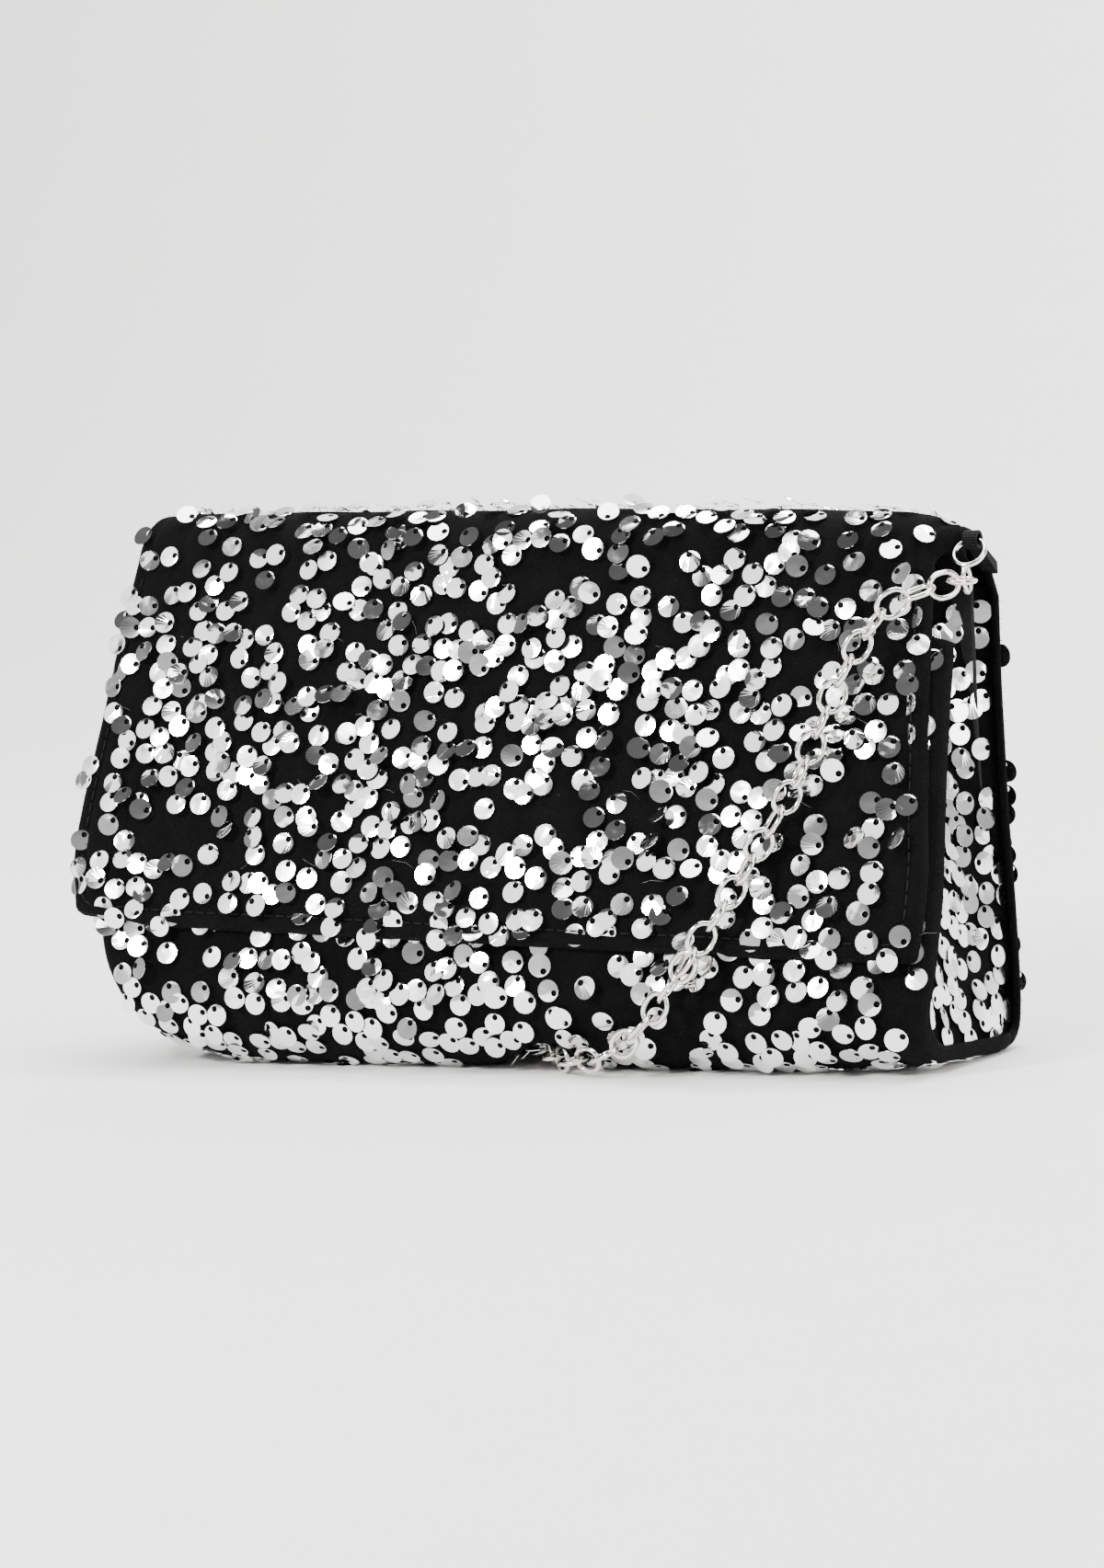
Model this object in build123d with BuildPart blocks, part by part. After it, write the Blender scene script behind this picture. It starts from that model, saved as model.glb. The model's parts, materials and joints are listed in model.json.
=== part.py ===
"""Evening bag: a padded flap clutch of velvet over board, with pleated sides and a chain strap.

X runs along the width, -Y is the front, +Z is up. The origin is the middle of the closed bag's
footprint, on the surface that it stands on. Lengths are millimetres.
"""

from build123d import *
import os
from math import asin, atan2, cos, degrees, hypot, pi, radians, sin, sqrt, tan

os.makedirs("parts", exist_ok=True)

# The closed bag
body_width = 240.0
body_depth = 58.0
fold_height = 124.0  # z of the line that the flap turns about
fold_radius = 12.0  # outside of the soft fold over the top
front_radius = 18.0  # padded bend between the base and the front
back_radius = 10.0  # bend between the base and the back
front_drop = 20.18  # from the fold's line down to the front's top edge
flap_lift = 8.18  # from the front's lower bend up to the flap's lower edge

# Layers of a panel, from the outside in
cover = 1.8  # velvet with its sequins
wadding = 2.2
board = 1.2
lining = 0.6  # satin
base_wadding_depth = 8.0
base_board_depth = 1.6
flap_board_depth = 1.0
flap_gap = 0.6  # between the flap's lining and the front's cover
clearance = 0.3  # between pieces that move apart

# How far in from each side of the bag the pieces stop
flap_inset = 3.0
layer_inset = 13.0
base_wadding_inset = 9.0
base_cover_inset = 2.0
flap_board_inset = 4.0  # in from the flap's own edge
flap_lining_inset = 1.0  # in from the flap's own edge
soft_fold = 14.0  # unstiffened top of the flap
edge_margin = 6.0  # from the edge of a panel to its board
band_angle = 60.0  # degrees of the front bend that belong to the base cover

# Pleated sides
gusset_inset = 3.0
gusset_pleat = 16.0  # how far the pleat folds in at the top
gusset_bottom_pleat = 0.6
gusset_drop = 18.0  # of its top edge, below the fold's line
pleat_step = 6.0  # from the pleat's change of slope to the front's bend
gusset_cover = 2.2
gusset_lining = 0.8

# Slip pocket on the back lining
pocket_width = 150.0
pocket_drop = 36.0  # of its mouth, below the fold's line
pocket_lift = 12.0  # of its bottom seam, above the base lining
pocket_gap = 1.6
pocket_seam = 3.0

# Magnetic snap
snap_radius = 7.0
washer_inset = 1.0  # in from the snap's edge
snap_height = 18.0  # above the flap's lower edge
stud_face = 1.2
nub_radius = 2.5
nub_length = 1.4
nub_play = 0.7  # round the nub in the socket
nub_end_play = 0.5
socket_floor = 0.7
socket_washer = 0.6

# Strap rings and the tabs that hold them
ring_inset = 2.0
ring_radius = 3.85
ring_wire = 0.65
tab_length = 3.6
tab_wall = 0.7
tab_play = 0.85  # round the ring's wire
tab_tail = 1.4
tab_drop = 6.0  # how far the tail runs down to the back panel
right_ring_angle = 230.0  # from +Y towards +Z: the chain pulls it forward and down
left_ring_angle = 288.0  # hangs almost straight down

# Chain, whose links are drawn as a plain tube
chain_diameter = 7.2
tunnel_width = 10.0
tunnel_height = 7.8
tunnel_corner = 3.4
tunnel_front = (25.0, -24.8)
tunnel_back = (-36.0, 36.0)
tunnel_reach = 14.0  # past both ends
run_share = 0.45

# Hank of the strap's spare length, behind the bag
hank_length = 137.0
hank_centre = (-26.5, 47.0)
hank_runs_wide = 3
hank_layers = 2
hank_edge = 3.0
tie_width = 6.0
tie_depth = 0.8

# Widths and heights that follow from the bag's own
flap_width = body_width - 2 * flap_inset
flap_board_width = flap_width - 2 * flap_board_inset
flap_lining_width = flap_width - 2 * flap_lining_inset
layer_width = body_width - 2 * layer_inset
base_wadding_width = body_width - 2 * base_wadding_inset
base_cover_width = body_width - 2 * base_cover_inset
gusset_seam = body_width / 2 - gusset_inset
gusset_top = fold_height - gusset_drop
ring_x = body_width / 2 - ring_inset

# The front leans back so that the flap over it meets the fold
front_stack = cover + wadding + board + lining
flap_stack = cover + flap_board_depth + lining
flap_depth = -flap_gap - flap_stack  # of the flap's outer face, below the front's
back_face = body_depth / 2
hinge = (back_face - fold_radius, fold_height)
hinge_depth = fold_radius + flap_depth
front_centre = (front_radius - back_face, front_radius)
to_hinge = (hinge[0] - front_centre[0], hinge[1] - front_centre[1])
hinge_reach = front_radius - hinge_depth
lean = atan2(*to_hinge) + asin(hinge_reach / hypot(*to_hinge))
hinge_up = sqrt(hypot(*to_hinge) ** 2 - hinge_reach**2)
outward = (-cos(lean), sin(lean))
upward = (sin(lean), cos(lean))
back_centre = (back_face - back_radius, back_radius)
front_length = hinge_up - front_drop
flap_start = hinge_up - soft_fold
snap_up = flap_lift + snap_height
back_inside = back_face - front_stack
base_inside = cover + base_wadding_depth + base_board_depth + lining
chain_radius = chain_diameter / 2

# The snap's parts fit each other, and its stud fills the flap's board
washer_radius = snap_radius - washer_inset
socket_bore_radius = nub_radius + nub_play
socket_bore_depth = nub_length + nub_end_play
socket_depth = socket_bore_depth + socket_floor
stud_front = -clearance
stud_back = stud_front - stud_face
tab_bore = ring_wire + tab_play
tab_radius = tab_bore + tab_wall


def panel_point(up, depth):
    """(y, z) at a distance up the leaning front and a depth in from its outer face."""
    reach = front_radius - depth
    return (
        front_centre[0] + reach * outward[0] + up * upward[0],
        front_centre[1] + reach * outward[1] + up * upward[1],
    )


def panel_plane(up, depth):
    """A plane on the leaning front that faces outward."""
    y, z = panel_point(up, depth)
    return Plane(origin=(0, y, z), x_dir=(1, 0, 0), z_dir=(0, *outward))


def leaning_layer(low, high, outer, inner):
    """Section of a flat layer of the front or the flap."""
    with BuildSketch(Plane.YZ) as section:
        with BuildLine():
            Polyline(
                panel_point(low, outer),
                panel_point(high, outer),
                panel_point(high, inner),
                panel_point(low, inner),
                close=True,
            )
        make_face()
    return section.sketch


def level_layer(front, back, low, high):
    """Section of an upright or level layer of the back or the base."""
    with BuildSketch(Plane.YZ) as section:
        with BuildLine():
            Polyline((front, low), (back, low), (back, high), (front, high), close=True)
        make_face()
    return section.sketch


def bent_layer(centre, inner, outer, start, end):
    """Section of a layer that bends round a centre, between two angles from +Y."""
    turn = end - start
    with BuildSketch(Plane.YZ) as section:
        with BuildLine():
            near = CenterArc(centre, inner, start, turn)
            far = CenterArc(centre, outer, start, turn)
            Line(near @ 0, far @ 0)
            Line(near @ 1, far @ 1)
        make_face()
    return section.sketch


def across(section, width, mode=Mode.ADD):
    """Runs a section across the bag, half to each side of the middle."""
    extrude(section, amount=width / 2, both=True, mode=mode)


def disc(up, outer, inner, radius, mode=Mode.ADD):
    """A round of the snap or its pocket, between two depths of the front."""
    with BuildSketch(panel_plane(up, outer)) as round_face:
        Circle(radius)
    extrude(round_face.sketch, amount=outer - inner, mode=mode)


def finish(part, name):
    part.label = name
    export_step(part, f"parts/{name}.step")


tunnel_line = Vector(*tunnel_back) - Vector(*tunnel_front)
tunnel_start = Vector(*tunnel_front) - tunnel_line.normalized() * tunnel_reach
tunnel_plane = Plane(
    origin=tunnel_start,
    x_dir=Vector(0, 0, 1).cross(tunnel_line),
    z_dir=tunnel_line,
)
tunnel_length = tunnel_line.length + 2 * tunnel_reach


def tunnel_solid(wall):
    """The arched way that the chain takes under the base, grown by a wall."""
    height = tunnel_height + wall
    with BuildPart(mode=Mode.PRIVATE) as way:
        with BuildSketch(tunnel_plane):
            with Locations((0, 0)):
                RectangleRounded(tunnel_width + 2 * wall, 2 * height, tunnel_corner + wall)
        extrude(amount=tunnel_length)
    return way.part


tunnel_space = tunnel_solid(0.0)
tunnel_shell = tunnel_solid(cover)

# Back panel: velvet outside, then wadding, board and satin
with BuildPart() as back_cover:
    across(level_layer(back_face - cover, back_face, back_radius, fold_height), body_width)
    across(bent_layer(back_centre, back_radius - cover, back_radius, -90, 0), body_width)
    add(tunnel_shell, mode=Mode.SUBTRACT)
finish(back_cover.part, "back_cover")

stiff_top = fold_height - edge_margin
wadding_face = back_face - cover - wadding
board_face = wadding_face - board
with BuildPart() as back_wadding:
    across(level_layer(wadding_face, back_face - cover, base_inside, stiff_top), layer_width)
finish(back_wadding.part, "back_wadding")

board_low = cover + base_wadding_depth
with BuildPart() as back_board:
    across(level_layer(board_face, wadding_face, board_low, stiff_top), layer_width)
finish(back_board.part, "back_board")

with BuildPart() as back_lining:
    across(level_layer(back_inside, board_face, base_inside, stiff_top), layer_width)
finish(back_lining.part, "back_lining")

# Slip pocket: a satin patch sewn to the back lining on three sides
pocket_top = fold_height - pocket_drop
pocket_bottom = base_inside + pocket_lift
with BuildPart() as slip_pocket:
    across(
        level_layer(
            back_inside - pocket_gap - lining, back_inside, pocket_bottom, pocket_top
        ),
        pocket_width,
    )
    across(
        level_layer(
            back_inside - pocket_gap, back_inside, pocket_bottom + pocket_seam, pocket_top
        ),
        pocket_width - 2 * pocket_seam,
        Mode.SUBTRACT,
    )
finish(slip_pocket.part, "slip_pocket")

# Base: the velvet strip arches over the chain, and the wadding has room for that arch
band_start = -90 - band_angle


def base_layer(outer, inner, width):
    """A layer of the base and of the start of the bend at its front."""
    across(level_layer(front_centre[0], back_centre[0], outer, inner), width)
    across(
        bent_layer(
            front_centre, front_radius - inner, front_radius - outer, band_start, -90
        ),
        width,
    )


with BuildPart() as base_cover:
    base_layer(0, board_low, base_wadding_width)
    add(tunnel_shell, mode=Mode.INTERSECT)
    base_layer(0, cover, base_cover_width)
    add(tunnel_space, mode=Mode.SUBTRACT)
finish(base_cover.part, "base_cover")

with BuildPart() as base_wadding:
    base_layer(cover, board_low, base_wadding_width)
    add(tunnel_shell, mode=Mode.SUBTRACT)
finish(base_wadding.part, "base_wadding")

board_top = board_low + base_board_depth
with BuildPart() as base_board:
    across(level_layer(front_centre[0], board_face, board_low, board_top), layer_width)
finish(base_board.part, "base_board")

with BuildPart() as base_lining:
    across(level_layer(front_centre[0], back_inside, board_top, base_inside), layer_width)
finish(base_lining.part, "base_lining")

# Lower fold: soft velvet between the base and the front, where the front tilts
slack = degrees(clearance / front_radius)
panel_angle = -180 - degrees(lean)
with BuildPart() as lower_fold:
    across(
        bent_layer(
            front_centre,
            front_radius - cover,
            front_radius,
            panel_angle + slack,
            band_start,
        ),
        body_width,
    )
    add(tunnel_shell, mode=Mode.SUBTRACT)
finish(lower_fold.part, "lower_fold")

# Top fold: soft velvet and satin from the back panel to the flap
fold_inside = fold_radius - cover
with BuildPart() as top_fold:
    across(bent_layer(hinge, fold_inside, fold_radius, 0, 180 - degrees(lean)), flap_width)
    across(
        leaning_layer(flap_start + clearance, hinge_up, flap_depth, flap_depth + cover),
        flap_width,
    )
finish(top_fold.part, "top_fold")

with BuildPart() as top_fold_lining:
    across(
        bent_layer(hinge, fold_inside - lining, fold_inside, 0, 180 - degrees(lean)),
        flap_lining_width,
    )
    across(
        leaning_layer(
            flap_start + clearance,
            hinge_up,
            flap_depth + cover,
            flap_depth + cover + lining,
        ),
        flap_lining_width,
    )
finish(top_fold_lining.part, "top_fold_lining")

# Front panel, with the snap's socket let into it
socket_back = socket_depth + socket_washer
with BuildPart() as front_cover:
    across(leaning_layer(0, front_length, 0, cover), body_width)
    disc(snap_up, 0, cover, snap_radius, Mode.SUBTRACT)
finish(front_cover.part, "front_cover")

board_end = front_length - edge_margin / 2
with BuildPart() as front_wadding:
    across(leaning_layer(0, board_end, cover, cover + wadding), layer_width)
    disc(snap_up, cover, socket_depth, snap_radius, Mode.SUBTRACT)
    disc(snap_up, socket_depth, socket_back, washer_radius, Mode.SUBTRACT)
finish(front_wadding.part, "front_wadding")

front_board_face = cover + wadding
with BuildPart() as front_board:
    across(
        leaning_layer(0, board_end, front_board_face, front_board_face + board),
        layer_width,
    )
finish(front_board.part, "front_board")

with BuildPart() as front_lining:
    across(
        leaning_layer(0, board_end, front_board_face + board, front_stack), layer_width
    )
finish(front_lining.part, "front_lining")

with BuildPart() as snap_socket:
    disc(snap_up, 0, socket_depth, snap_radius)
    disc(snap_up, 0, socket_bore_depth, socket_bore_radius, Mode.SUBTRACT)
finish(snap_socket.part, "snap_socket")

with BuildPart() as snap_socket_washer:
    disc(snap_up, socket_depth, socket_back, washer_radius)
finish(snap_socket_washer.part, "snap_socket_washer")

# Flap: velvet, board and satin, with the snap's stud let into its underside
flap_board_face = flap_depth + cover
flap_lining_face = flap_board_face + flap_board_depth
with BuildPart() as flap_cover:
    across(leaning_layer(flap_lift, flap_start, flap_depth, flap_board_face), flap_width)
finish(flap_cover.part, "flap_cover")

with BuildPart() as flap_board:
    across(
        leaning_layer(
            flap_lift + edge_margin, flap_start, flap_board_face, flap_lining_face
        ),
        flap_board_width,
    )
    disc(snap_up, stud_back, flap_lining_face, snap_radius, Mode.SUBTRACT)
    disc(snap_up, flap_board_face, stud_back, washer_radius, Mode.SUBTRACT)
finish(flap_board.part, "flap_board")

with BuildPart() as flap_lining:
    across(
        leaning_layer(flap_lift, flap_start, flap_lining_face, flap_lining_face + lining),
        flap_lining_width,
    )
    disc(snap_up, flap_lining_face, flap_lining_face + lining, snap_radius, Mode.SUBTRACT)
finish(flap_lining.part, "flap_lining")

with BuildPart() as snap_stud:
    disc(snap_up, stud_back, stud_front, snap_radius)
    disc(snap_up, stud_front, stud_front + nub_length, nub_radius)
finish(snap_stud.part, "snap_stud")

with BuildPart() as snap_stud_washer:
    disc(snap_up, flap_board_face, stud_back, washer_radius)
finish(snap_stud_washer.part, "snap_stud_washer")


# Pleated sides: flat at the base, folded inward ever deeper towards the mouth
def front_inside(z):
    """y just behind the front's cover, following the lower bend below the panel."""
    depth = cover + clearance
    reach = front_radius - depth
    up = (z - panel_point(0, depth)[1]) / cos(lean)
    if up >= 0:
        return panel_point(up, depth)[0]
    below = min(front_radius - z, reach)
    return front_centre[0] - sqrt(reach**2 - below**2)


def back_of_side(z):
    """y of the back cover's inner face, following its lower bend."""
    reach = back_radius - cover
    below = max(back_radius - z, 0)
    return back_centre[0] + sqrt(max(reach**2 - below**2, 0))


def pleat(side, z, outer, inner):
    """Section of a pleated side at a height, between two depths in from its face."""
    share = (z - cover) / (gusset_top - cover)
    fold_in = gusset_bottom_pleat + gusset_pleat * share
    front = front_inside(z)
    back = back_of_side(z)
    seam = gusset_seam - outer
    valley = gusset_seam - fold_in
    middle = (front + back) / 2
    with BuildSketch(Plane.XY.offset(z)) as section:
        with BuildLine():
            Polyline(
                (side * seam, front),
                (side * (valley - outer), middle),
                (side * seam, back),
                (side * (gusset_seam - inner), back),
                (side * (valley - inner), middle),
                (side * (gusset_seam - inner), front),
                close=True,
            )
        make_face()
    return section.sketch


pleat_heights = (cover, front_radius - pleat_step, front_radius + pleat_step, gusset_top)
for side, word in ((1, "right"), (-1, "left")):
    with BuildPart() as gusset:
        loft([pleat(side, z, 0, gusset_cover) for z in pleat_heights], ruled=True)
    finish(gusset.part, f"{word}_gusset")
    with BuildPart() as gusset_inside:
        loft(
            [
                pleat(side, z, gusset_cover, gusset_cover + gusset_lining)
                for z in pleat_heights
            ],
            ruled=True,
        )
    finish(gusset_inside.part, f"{word}_gusset_lining")

# Strap rings: wire loops in ribbon tabs that are sewn to the back panel
for side, word, angle in ((1, "right", right_ring_angle), (-1, "left", left_ring_angle)):
    pull = (cos(radians(angle)), sin(radians(angle)))
    ring_plane = Plane(
        origin=(
            side * ring_x,
            hinge[0] + ring_radius * pull[0],
            hinge[1] + ring_radius * pull[1],
        ),
        x_dir=(1, 0, 0),
        z_dir=(0, -pull[1], pull[0]),
    )
    with BuildPart(ring_plane) as ring:
        Torus(ring_radius, ring_wire)
    finish(ring.part, f"{word}_ring")

    with BuildPart() as ring_tab:
        with BuildSketch(Plane.YZ.offset(side * ring_x)) as outline:
            with BuildLine():
                Polyline(
                    (hinge[0], hinge[1]),
                    (back_face - cover, hinge[1] - tab_drop),
                    (back_face - cover, hinge[1] - tab_drop - 2 * tab_tail),
                    (hinge[0], hinge[1] - tab_tail),
                    close=True,
                )
            make_face()
            with Locations(hinge):
                Circle(tab_radius)
                Circle(tab_bore, mode=Mode.SUBTRACT)
        extrude(amount=tab_length / 2, both=True)
    finish(ring_tab.part, f"{word}_ring_tab")

# Chain: from the right ring down the flap, under the bag, and round to the left ring
front_route = (
    (119.5, 8.6, 114.8),
    (122.8, 0.5, 114.5),
    (119.0, -6.5, 110.5),
    (109.5, -7.0, 105.5),
    (101.5, -12.3, 91.5),
    (95.3, -16.6, 79.0),
    (88.2, -21.2, 66.8),
    (79.6, -24.8, 56.6),
    (71.0, -29.2, 44.8),
    (64.2, -32.9, 34.6),
    (60.6, -34.4, 29.3),
)
lower_route = (
    (59.7, -34.6, 28.0),
    (53.0, -34.6, 18.8),
    (45.2, -33.6, 10.2),
    (36.0, -31.4, 4.8),
    (25.2, -24.9, 3.8),
    (4.4, -4.0, 3.8),
    (-20.0, 20.8, 3.8),
    (-36.5, 38.5, 3.8),
)
tail_route = (
    (-93.0, 47.0, 6.4),
    (-107.0, 46.4, 4.6),
    (-119.0, 44.0, 9.5),
    (-124.6, 40.0, 24.0),
    (-126.0, 36.0, 44.0),
    (-126.2, 32.6, 66.0),
    (-125.4, 28.6, 86.0),
    (-124.4, 24.2, 101.0),
    (-121.4, 20.6, 110.5),
)


def chain_tube(name, route):
    """A tube along straight runs joined by arcs as large as the runs allow."""
    points = [Vector(*point) for point in route]
    radii = []
    for before, here, after in zip(points, points[1:], points[2:]):
        turn = (here - before).get_angle(after - here)
        shorter = min((here - before).length, (after - here).length)
        radii.append(run_share * shorter / tan(radians(turn / 2)))
    with BuildPart() as tube:
        with BuildLine():
            path = FilletPolyline(*points, radius=radii)
        with BuildSketch(Plane(origin=points[0], z_dir=path % 0)):
            Circle(chain_radius)
        sweep()
    straight_volume = pi * chain_radius**2 * path.length
    print(name, "length", round(path.length, 1), "radii", [round(r, 1) for r in radii])
    print(name, "volume over section times length", round(tube.part.volume / straight_volume, 4))
    finish(tube.part, name)


chain_tube("chain_front", front_route)
chain_tube("chain_lower", lower_route)
chain_tube("chain_tail", tail_route)

hank_width = hank_runs_wide * chain_diameter
hank_height = hank_layers * chain_diameter
with BuildPart() as chain_hank:
    with BuildSketch():
        with Locations(hank_centre):
            SlotOverall(hank_length, hank_width)
    extrude(amount=hank_height)
    fillet(chain_hank.edges().group_by(Axis.Z)[0] + chain_hank.edges().group_by(Axis.Z)[-1], hank_edge)
    with BuildSketch(Plane.YZ.offset(hank_centre[0])) as waist:
        with Locations((hank_centre[1], hank_height / 2)):
            Rectangle(2 * hank_width, 2 * hank_height)
            RectangleRounded(
                hank_width - 2 * tie_depth,
                hank_height - 2 * tie_depth,
                hank_edge,
                mode=Mode.SUBTRACT,
            )
    extrude(waist.sketch, amount=tie_width / 2, both=True, mode=Mode.SUBTRACT)
finish(chain_hank.part, "chain_hank")

with BuildPart() as hank_tie:
    with BuildSketch(Plane.YZ.offset(hank_centre[0])):
        with Locations((hank_centre[1], hank_height / 2)):
            RectangleRounded(hank_width, hank_height, hank_edge)
            RectangleRounded(
                hank_width - 2 * tie_depth,
                hank_height - 2 * tie_depth,
                hank_edge,
                mode=Mode.SUBTRACT,
            )
    extrude(amount=tie_width / 2, both=True)
finish(hank_tie.part, "hank_tie")
print("hinge", hinge, "front centre", front_centre, "lean", round(degrees(lean), 3))
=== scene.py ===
import json
import math

import bmesh
import bpy
from mathutils import Matrix, Vector, noise

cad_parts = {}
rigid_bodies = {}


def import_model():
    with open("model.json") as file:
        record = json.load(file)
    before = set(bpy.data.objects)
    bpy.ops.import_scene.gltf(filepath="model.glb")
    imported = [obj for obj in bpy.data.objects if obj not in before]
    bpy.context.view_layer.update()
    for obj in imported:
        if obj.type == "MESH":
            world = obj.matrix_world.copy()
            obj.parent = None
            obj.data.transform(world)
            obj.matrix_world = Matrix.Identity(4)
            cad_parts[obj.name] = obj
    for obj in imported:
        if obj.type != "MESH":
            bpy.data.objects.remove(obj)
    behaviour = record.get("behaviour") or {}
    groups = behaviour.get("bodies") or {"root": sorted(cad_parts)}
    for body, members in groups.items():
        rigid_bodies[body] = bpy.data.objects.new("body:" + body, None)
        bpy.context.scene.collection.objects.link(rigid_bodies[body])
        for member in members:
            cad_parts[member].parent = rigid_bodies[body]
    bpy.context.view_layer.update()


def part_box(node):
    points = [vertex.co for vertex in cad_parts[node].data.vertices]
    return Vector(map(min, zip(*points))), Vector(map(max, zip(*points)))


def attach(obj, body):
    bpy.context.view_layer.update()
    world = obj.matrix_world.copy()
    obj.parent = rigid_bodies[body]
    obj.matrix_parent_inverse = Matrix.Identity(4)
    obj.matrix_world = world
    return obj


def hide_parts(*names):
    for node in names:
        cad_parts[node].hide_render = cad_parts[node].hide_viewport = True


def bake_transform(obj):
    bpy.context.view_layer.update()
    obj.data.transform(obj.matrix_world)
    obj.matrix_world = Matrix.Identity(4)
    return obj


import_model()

mm = 0.001

# --- Camera -------------------------------------------------------------------------------
# A long lens a little over a metre away, to the right of the bag's front and just above it,
# turned slightly about its own axis.
turn_round, look_down, roll = math.radians(29.1), math.radians(4.7), math.radians(-3.8)
stand_off, aim = 1.038, Vector((0.0055, 0.005, 0.0685))
back = Vector((
    math.sin(turn_round) * math.cos(look_down),
    -math.cos(turn_round) * math.cos(look_down),
    math.sin(look_down),
))
level = Vector((0, 0, 1)).cross(back).normalized()
upright = back.cross(level)
across = level * math.cos(roll) + upright * math.sin(roll)
over = upright * math.cos(roll) - level * math.sin(roll)
lens = bpy.data.cameras.new("camera")
lens.lens = 95.0
lens.sensor_width = 36.0
camera = bpy.data.objects.new("camera", lens)
bpy.context.scene.collection.objects.link(camera)
camera.matrix_world = Matrix.Translation(aim + back * stand_off) @ Matrix(
    (across, over, back)
).transposed().to_4x4()
bpy.context.scene.camera = camera


# --- Chain strap --------------------------------------------------------------------------
# Cable chain of plain oval links in nickel-plated brass wire. It runs from the right ring down
# over the flap and under the bag. The rest is folded into a hank behind it, held by a band, and
# goes up to the left ring. It is parted at the flap's lower edge, so that the flap can open.
class Wire:
    """A socket of a node tree: arithmetic adds Math nodes, and node() adds any other node."""

    def __init__(self, tree, socket=None):
        self.tree, self.socket = tree, socket

    def node(self, kind, settings=(), inputs=(), output=0):
        made = self.tree.nodes.new(kind)
        for key, value in dict(settings).items():
            if key == "stops":
                ramp = made.color_ramp.elements
                while len(ramp) < len(value):
                    ramp.new(0.5)
                for stop, (place, shade) in zip(ramp, value):
                    stop.position, stop.color = place, (*([shade] * 3), 1)
            else:
                setattr(made, key, value)
        for key, value in dict(inputs).items():
            if isinstance(value, Wire):
                self.tree.links.new(value.socket, made.inputs[key])
            else:
                made.inputs[key].default_value = value
        return Wire(self.tree, made.outputs[output])

    def maths(self, operation, *values, clamp=False):
        settings = {"operation": operation, "use_clamp": clamp}
        return self.node("ShaderNodeMath", settings, dict(enumerate(values)))

    def __add__(self, other):
        return self.maths("ADD", self, other)

    def __radd__(self, other):
        return self.maths("ADD", other, self)

    def __sub__(self, other):
        return self.maths("SUBTRACT", self, other)

    def __rsub__(self, other):
        return self.maths("SUBTRACT", other, self)

    def __mul__(self, other):
        return self.maths("MULTIPLY", self, other)

    def __rmul__(self, other):
        return self.maths("MULTIPLY", other, self)

    def __gt__(self, other):
        return self.maths("GREATER_THAN", self, other)

    def __lt__(self, other):
        return self.maths("LESS_THAN", self, other)


def finish_of(name, **constants):
    """A new material with its tree emptied, its Principled shader's values set, and its wires."""
    made = bpy.data.materials.new(name)
    made.use_nodes = True
    tree = made.node_tree
    shader = tree.nodes["Principled BSDF"]
    for key, value in constants.items():
        shader.inputs[key.replace("_", " ")].default_value = value
    return made, Wire(tree), shader


def feed(shader, **wires):
    for key, wire in wires.items():
        wire.tree.links.new(wire.socket, shader.inputs[key.replace("_", " ")])


def colour_mix(share, dark, light):
    """A colour between two, by a wired share."""
    return share.node(
        "ShaderNodeMix",
        {"data_type": "RGBA"},
        {0: share, 6: (*dark, 1), 7: (*light, 1)},
        2,
    )


def plated_metal():
    made, tree, shader = finish_of("nickel_plate", Metallic=1.0)
    place = tree.node("ShaderNodeTexCoord", output=3)
    rubbed = tree.node("ShaderNodeTexNoise", inputs={"Vector": place, "Scale": 900.0, "Detail": 4.0})
    feed(
        shader,
        Base_Color=colour_mix(rubbed, (0.66, 0.64, 0.60), (0.84, 0.82, 0.78)),
        Roughness=rubbed * 0.07 + 0.06,
    )
    return made


link_long, link_wide, link_wire = 9.2 * mm, 7.2 * mm, 1.3 * mm
link_pitch = link_long - 2 * link_wire - 0.15 * mm
chain_metal = plated_metal()


def add_mesh(name, vertices, faces, material, smooth=True):
    made = bpy.data.meshes.new(name)
    made.from_pydata([tuple(v) for v in vertices], [], faces)
    made.materials.append(material)
    made.polygons.foreach_set("use_smooth", [smooth] * len(made.polygons))
    made.validate()
    thing = bpy.data.objects.new(name, made)
    bpy.context.scene.collection.objects.link(thing)
    return thing


def new_tree(name, *wanted):
    """An empty geometry tree with named inputs: (name, socket type, default)."""
    tree = bpy.data.node_groups.new(name, "GeometryNodeTree")
    tree.interface.new_socket("Geometry", in_out="INPUT", socket_type="NodeSocketGeometry")
    for label, kind, value in wanted:
        made = tree.interface.new_socket(label, in_out="INPUT", socket_type=kind)
        made.default_value = value
    tree.interface.new_socket("Geometry", in_out="OUTPUT", socket_type="NodeSocketGeometry")
    start = tree.nodes.new("NodeGroupInput")
    wires = {s.name: Wire(tree, s) for s in start.outputs if s.name}
    return tree, wires


def close_tree(tree, geometry, material):
    """Realizes what the tree made and gives it its material."""
    real = geometry.node("GeometryNodeRealizeInstances", inputs={"Geometry": geometry})
    done = real.node("GeometryNodeSetMaterial", inputs={"Geometry": real, "Material": material})
    end = tree.nodes.new("NodeGroupOutput")
    tree.links.new(done.socket, end.inputs[0])


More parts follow.
